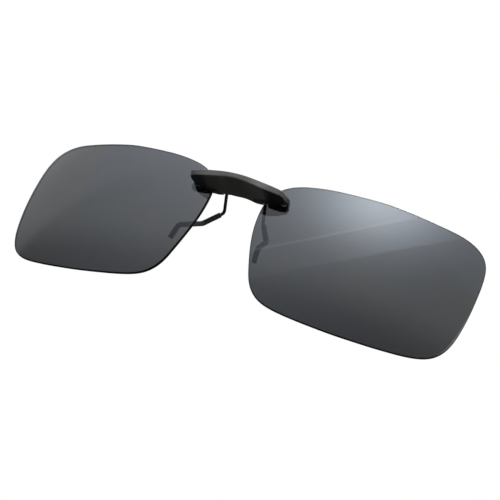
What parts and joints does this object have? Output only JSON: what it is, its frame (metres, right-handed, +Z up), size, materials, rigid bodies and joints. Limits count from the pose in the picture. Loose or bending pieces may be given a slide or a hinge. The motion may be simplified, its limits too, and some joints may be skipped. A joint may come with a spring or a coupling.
{
  "type": "clip-on flip-up lenses",
  "caption": "Clip-on pair of tinted lenses on a bowed bridge bar that flips up, with a sprung lever and sleeved wire legs that grip the spectacles behind.",
  "frame": {"origin": "centre of the rubber bridge pad's rear face, which rests on the front of the spectacle bridge", "axes": "as worn: +Z up, +Y back towards the wearer, +X towards the wearer's left"},
  "size_m": [0.1312, 0.0254, 0.0398],
  "materials": {
    "tinted_lens": "grey tinted polymer lens, polished, broken edge",
    "black_bar": "satin black enamel over metal",
    "black_wire": "gloss black coated spring wire",
    "sleeve_rubber": "soft black tube",
    "rubber": "matt black rubber",
    "steel": "turned stainless steel",
    "nylon": "natural nylon"
  },
  "bodies": {
    "clamp": {"hinge_block": "black_bar", "bridge_pad": "rubber", "hinge_pin": "steel", "pin_cap": "steel", "thrust_washers": "nylon", "wave_washers": "steel", "torsion_spring": "steel"},
    "lens_carrier": {"bridge_bar": "black_bar", "lens_left": "tinted_lens", "lens_right": "tinted_lens", "lens_bushes_left": "nylon", "lens_bushes_right": "nylon", "lens_screws_left": "steel", "lens_screws_right": "steel", "rear_plate_left": "black_bar", "rear_plate_right": "black_bar"},
    "leg_lever": {"thumb_lever": "black_bar", "thumb_pad": "rubber", "wire_leg_left": "black_wire", "wire_leg_right": "black_wire", "leg_sleeve_left": "sleeve_rubber", "leg_sleeve_right": "sleeve_rubber"}
  },
  "joints": [
    {"name": "lens_flip", "type": "hinge", "parent": "clamp", "child": "lens_carrier", "pos_m": [0, 0.0015, 0.0022], "axis": [-1, 0, 0], "range_deg": [0, 90]},
    {"name": "legs_open", "type": "hinge", "parent": "clamp", "child": "leg_lever", "pos_m": [0, 0.0015, 0.0022], "axis": [1, 0, 0], "range_deg": [0, 22], "stiffness_Nm_per_rad": 0.012, "springref_deg": -40.11, "deforming": ["torsion_spring"]}
  ]
}
